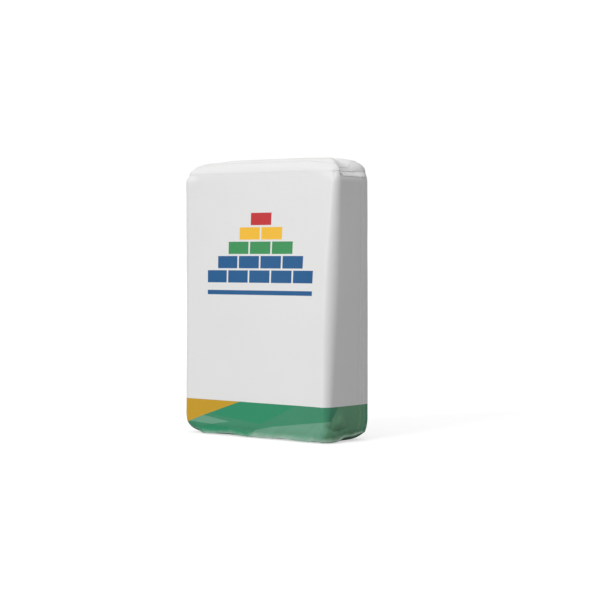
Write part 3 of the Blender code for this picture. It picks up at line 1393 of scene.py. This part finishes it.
    def close(self, piece: bpy.types.Object) -> None:
        """Joins the sheet's meeting edges and closes its two ends.

        Args:
            piece: The wrapped grid.
        """
        select_only(piece)
        bpy.ops.object.mode_set(mode="EDIT")
        bpy.ops.mesh.select_all(action="SELECT")
        bpy.ops.mesh.remove_doubles(threshold=self.weld)
        bpy.ops.mesh.select_mode(type="EDGE")
        for top_end in (False, True):
            bpy.ops.mesh.select_all(action="DESELECT")
            sheet = bmesh.from_edit_mesh(piece.data)
            for edge in sheet.edges:
                if edge.is_boundary and (edge.verts[0].co.z > self.form.height / 2) == top_end:
                    edge.select_set(True)
            bmesh.update_edit_mesh(piece.data)
            bpy.ops.mesh.fill(use_beauty=True)
            sheet = bmesh.from_edit_mesh(piece.data)
            places = sheet.loops.layers.uv.active
            for loop in (loop for face in sheet.faces if face.select for loop in face.loops):
                loop[places].uv = (Columns.FRONT_MIDDLE, self.rows.v[-1 if top_end else 0])
            bmesh.update_edit_mesh(piece.data)
        point_outwards(piece)
        bpy.ops.object.shade_smooth_by_angle(angle=math.radians(55))


def surface_of(piece: bpy.types.Object) -> BVHTree:
    """A piece's surface, to lay sheets on.

    Args:
        piece: The piece.

    Returns:
        Its tree of faces.
    """
    mesh = piece.data
    return BVHTree.FromPolygons([v.co for v in mesh.vertices], [tuple(p.vertices) for p in mesh.polygons])


@dataclass
class CoverPatch:
    """A sheet pasted over one folded end."""

    name: str
    form: SackForm
    half_x: float
    half_y: float
    sheet: float
    columns: int = 150
    rows: int = 44
    corner: float = 0.004

    def flat_places(self) -> tuple[np.ndarray, np.ndarray]:
        """Spreads the sheet's lines over its cut size, with its four corners rounded.

        Returns:
            The places along and across it, by row and column.
        """
        x, y = np.meshgrid(
            np.linspace(-1, 1, self.columns) * self.half_x, np.linspace(-1, 1, self.rows) * self.half_y
        )
        inner_x, inner_y = self.half_x - self.corner, self.half_y - self.corner
        over_x = np.maximum(np.abs(x) - inner_x, 0)
        over_y = np.maximum(np.abs(y) - inner_y, 0)
        reach = np.hypot(over_x, over_y)
        pull = np.where(reach > self.corner, self.corner / np.maximum(reach, 1e-9), 1.0)
        x = np.copysign(np.minimum(np.abs(x), inner_x) + over_x * pull, x)
        y = np.copysign(np.minimum(np.abs(y), inner_y) + over_y * pull, y)
        return x, y

    def made_of(self, points: np.ndarray) -> bpy.types.Object:
        """Makes the sheet, which grows outwards from its places.

        Args:
            points: The places, by row and column.

        Returns:
            The finished piece.
        """
        grid = SheetGrid(self.name, self.columns, self.rows)
        grid.shape(points)
        grid.thicken(self.sheet, 1.0)
        bpy.ops.object.shade_smooth_by_angle(angle=SMOOTH_ANGLE)
        return grid.piece


@dataclass
class TopPatch(CoverPatch):
    """The patch on the domed top end."""

    def build(self, ground: BVHTree) -> bpy.types.Object:
        """Makes the patch.

        Args:
            ground: The surface that it is pasted on.

        Returns:
            The finished piece.
        """
        x, y = self.form.turned(*self.flat_places(), self.form.top_turn)
        points = np.stack([x, y, np.ones_like(x)], axis=-1)
        for spot in points.reshape(-1, 3):
            hit, normal, _, _ = ground.ray_cast(Vector(spot), Vector((0, 0, -1)))
            if hit is None:
                raise RuntimeError(f"{self.name} reaches past the sack's end")
            spot[:] = hit + normal * CLEARANCE
        return self.made_of(points)


@dataclass
class BottomPatch(CoverPatch):
    """The patch under the foot, which the sack stands on."""

    lowest: float = 0.0001
    rim_lift: float = 0.0002

    def build(self) -> bpy.types.Object:
        """Makes the patch, whose rim is a little off the floor.

        Returns:
            The finished piece.
        """
        x, y = self.flat_places()
        rim = np.maximum(np.abs(x) / np.abs(x).max(), np.abs(y) / np.abs(y).max())
        z = self.lowest + self.rim_lift * ramp(rim, 0.96, 0.04)
        return self.made_of(np.stack([x, y, z], axis=-1))


@dataclass
class ValveSleeve:
    """The filling valve's flattened sleeve, with its mouth at the top fold and its lip turned down."""

    form: SackForm
    half_width: float = 0.0420
    sheet: float = 0.0003
    reach_in: float = 0.0042
    mouth_lift: float = 0.0007
    lip: float = 0.0108
    gape: float = 0.0004
    swell: float = 0.0010
    swell_turn: float = 2.6
    swell_power: float = 1.6
    ragged: float = 0.00015
    ragged_waves: float = 23.0
    columns: int = 60
    rows_in: int = 9

    def on_the_roll(self, ground: BVHTree, side: float, height: float) -> tuple[Vector, Vector]:
        """Finds the sack's sheet under the lip.

        Args:
            ground: The sack's surface.
            side: The place along the valve's end.
            height: The height over the floor.

        Returns:
            The place and its outward direction.
        """
        cos, sin = math.cos(self.form.top_turn), math.sin(self.form.top_turn)
        outside = self.form.width / 2 + 0.05
        start = Vector((outside * cos - side * sin, outside * sin + side * cos, height))
        hit, normal, _, _ = ground.ray_cast(start, Vector((-cos, -sin, 0.0)))
        if hit is None:
            raise RuntimeError("the sleeve's lip finds no sheet under it")
        return hit, normal if normal.dot(start - hit) > 0 else -normal

    def lower_layer(self, ground: BVHTree) -> np.ndarray:
        """Lays the layer under the mouth, with its lip turned down over the sack's rolled edge.

        Args:
            ground: The sack's surface.

        Returns:
            Its places, by row from inside the slit outwards and by column.
        """
        fold = self.form.fold_z
        inward = np.array([math.cos(self.form.top_turn), math.sin(self.form.top_turn), 0.0])
        back = np.linspace(self.reach_in, 0.0, self.rows_in)[:, None]
        drops = np.concatenate([[0.0006, 0.0012, 0.0020], np.linspace(0.0030, self.lip, 8)])
        points = np.empty((self.rows_in + len(drops), self.columns, 3))
        for column, share in enumerate(np.linspace(-1, 1, self.columns)):
            side = share * self.half_width
            edge, _ = self.on_the_roll(ground, side, fold - 0.0004)
            mouth = np.array([edge.x, edge.y, fold + self.mouth_lift])
            points[: self.rows_in, column] = mouth - back * inward
            ragged = self.ragged * math.sin(share * self.ragged_waves)
            for row, drop in enumerate(drops, self.rows_in):
                spot, normal = self.on_the_roll(ground, side, fold - drop)
                down = drop / self.lip
                swelled = self.swell * math.sin(self.swell_turn * down**self.swell_power)
                away = self.sheet / 2 + CLEARANCE + swelled + ragged * down
                points[row, column] = spot + normal * away
        return points

    def upper_layer(self, lower: np.ndarray) -> np.ndarray:
        """Lays the layer over the mouth, which ends at the sack's edge.

        Args:
            lower: The places of the lower layer.

        Returns:
            Its places, by row from inside the slit outwards and by column.
        """
        points = lower[: self.rows_in].copy()
        share = np.linspace(-1, 1, self.columns)
        outward = np.linspace(0.0, 1.0, self.rows_in)[:, None]
        points[:, :, 2] += self.sheet + CLEARANCE + self.gape * outward * np.maximum(0.0, 1 - share**2) ** 1.5
        return points

    def build(self, ground: BVHTree) -> bpy.types.Object:
        """Makes the sleeve.

        Args:
            ground: The sack's surface.

        Returns:
            The finished piece, both layers in one.
        """
        lower = self.lower_layer(ground)
        layers = []
        for name, points in (("valve_sleeve_sheets", lower), ("upper_layer", self.upper_layer(lower))):
            grid = SheetGrid(name, self.columns, len(points))
            grid.shape(points)
            grid.thicken(self.sheet, 0.0)
            point_outwards(grid.piece)
            layers.append(grid.piece)
        select_only(layers[0])
        layers[1].select_set(True)
        bpy.ops.object.join()
        bpy.ops.object.shade_smooth_by_angle(angle=SMOOTH_ANGLE)
        return layers[0]


# Stage


@dataclass(frozen=True)
class Studio:
    """The floor, the lights and the camera, with lengths in metres and angles in radians."""

    azimuth: float = math.radians(39.75)
    pitch: float = math.radians(1.43)
    distance: float = 3.88
    focal_px: float = 1721.0
    offset: float = -0.0565
    eye_height: float = 0.4032
    sensor_mm: float = 36.0
    ambient_level: float = 0.19
    ambient_side: float = 0.025
    ambient_back: float = 0.03
    ambient_top: float = 0.74
    backdrop: float = 1.02
    floor_side: float = 60.0
    floor_shade: float = 0.36
    floor_seen: float = 0.60
    floor_glow: float = 0.58
    key_azimuth: float = math.radians(-6.5)
    key_elevation: float = math.radians(22.0)
    key_strength: float = 1.85
    key_softness: float = math.radians(30.0)

    def build(self) -> None:
        """Makes all of it."""
        for make in (self.floor, self.world, self.key_lamp, self.camera):
            make()

    def floor(self) -> None:
        """Makes the plain pale floor, which the lens sees whiter than the sack does."""
        deselect_all()
        bpy.ops.mesh.primitive_plane_add(size=self.floor_side)
        floor = bpy.context.object
        floor.name = "floor"
        graph = Graph(bpy.data.materials.new("pale_floor"))
        seen = graph.node("ShaderNodeLightPath", out="Is Camera Ray")
        graph.set(
            Base_Color=graph.mix(seen, (self.floor_shade,) * 3, (self.floor_seen,) * 3),
            Emission_Color=graph.mix(seen, (0.0, 0.0, 0.0), (self.floor_glow,) * 3),
            Emission_Strength=1.0,
            Roughness=1.0,
            Specular_IOR_Level=0.0,
        )
        floor.data.materials.append(graph.owner)

    def world(self) -> None:
        """Makes the white surroundings, which give soft light from all sides and more from above."""
        graph = Graph(bpy.data.worlds.new("studio"), "Background")
        bpy.context.scene.world = graph.owner
        towards = graph.node("ShaderNodeTexCoord", out="Generated")
        sockets = {0: towards, 1: (self.ambient_side, self.ambient_back, self.ambient_top)}
        slope = graph.node("ShaderNodeVectorMath", sockets, out="Value", operation="DOT_PRODUCT")
        seen = graph.node("ShaderNodeLightPath", out="Is Camera Ray")
        sockets = {"Factor": seen, "A": slope + self.ambient_level, "B": self.backdrop}
        graph.set(Color=(1.0, 1.0, 1.0), Strength=graph.node("ShaderNodeMix", sockets, out="Result"))
        bpy.context.scene.view_settings.view_transform = "Standard"

    def key_lamp(self) -> None:
        """Adds the large soft lamp in front of the sack."""
        deselect_all()
        bpy.ops.object.light_add(type="SUN", location=(0.0, -3.0, 3.0))
        lamp = bpy.context.object
        lamp.name = "key_lamp"
        lamp.data.energy = self.key_strength
        lamp.data.angle = self.key_softness
        lamp.rotation_euler = (math.pi / 2 - self.key_elevation, 0.0, self.key_azimuth)

    def camera(self) -> None:
        """Adds the camera at the photograph's place."""
        sin, cos = math.sin(self.azimuth), math.cos(self.azimuth)
        along = (sin * self.distance, -cos * self.distance)
        deselect_all()
        bpy.ops.object.camera_add(
            location=(along[0] - self.offset * cos, along[1] - self.offset * sin, self.eye_height)
        )
        camera = bpy.context.object
        camera.name = "photo_camera"
        camera.rotation_euler = (math.pi / 2 - self.pitch, 0.0, self.azimuth)
        camera.data.sensor_width = self.sensor_mm
        camera.data.lens = self.focal_px / PHOTO_SIDE_PX * self.sensor_mm
        bpy.context.scene.camera = camera


def settle(piece: bpy.types.Object, material: bpy.types.Material, nodes: Iterable[str]) -> None:
    """Gives a piece its finish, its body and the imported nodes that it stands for.

    Args:
        piece: The piece.
        material: Its material.
        nodes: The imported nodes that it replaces.
    """
    piece.data.materials.clear()
    piece.data.materials.append(material)
    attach(piece, ROOT_BODY)
    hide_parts(*nodes)
    LOG.info("%s: %d faces for %s", piece.name, len(piece.data.polygons), ", ".join(nodes))


def main() -> None:
    """Builds the pieces and the stage in order."""
    logging.basicConfig(level=logging.INFO, format="%(name)s: %(message)s", stream=sys.stdout)
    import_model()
    form = SackForm()
    shell = SackShell(form)
    coated = PaperFinish("coated_white", (0.80, 0.80, 0.795), shade=0.012, roughness=0.50, crease=0.00035)
    emblem = BrickEmblem(Columns.FRONT_MIDDLE + EMBLEM_SHIFT)
    printed = PrintedFinish("printed_sheet", coated, shell.columns.girth, emblem, shell.rows.foot_fold)
    patch_paper = PaperFinish("patch_paper", (0.83, 0.83, 0.82), shade=0.02, roughness=0.62)
    sleeve_paper = PaperFinish("sleeve_paper", (0.90, 0.898, 0.888), shade=0.025, roughness=0.66)
    sack = shell.build()
    settle(sack, printed.build(), ["sack"])
    ground = surface_of(sack)
    half_top = (form.width / 2 - TOP_MARGINS[0], form.depth_top / 2 - TOP_MARGINS[1])
    top = TopPatch("top_patch_sheet", form, *half_top, sheet=0.0003).build(ground)
    settle(top, patch_paper.build(), ["top_cover_patch"])
    half_foot = (form.width / 2 - FOOT_MARGINS[0], form.depth_foot / 2 - FOOT_MARGINS[1])
    bottom = BottomPatch("bottom_patch_sheet", form, *half_foot, sheet=0.0006).build()
    settle(bottom, patch_paper.build(), ["bottom_cover_patch"])
    sleeve = ValveSleeve(form).build(ground)
    settle(sleeve, sleeve_paper.build(), ["valve_sleeve"])
    Studio().build()
    deselect_all()


if __name__ == "__main__":
    main()
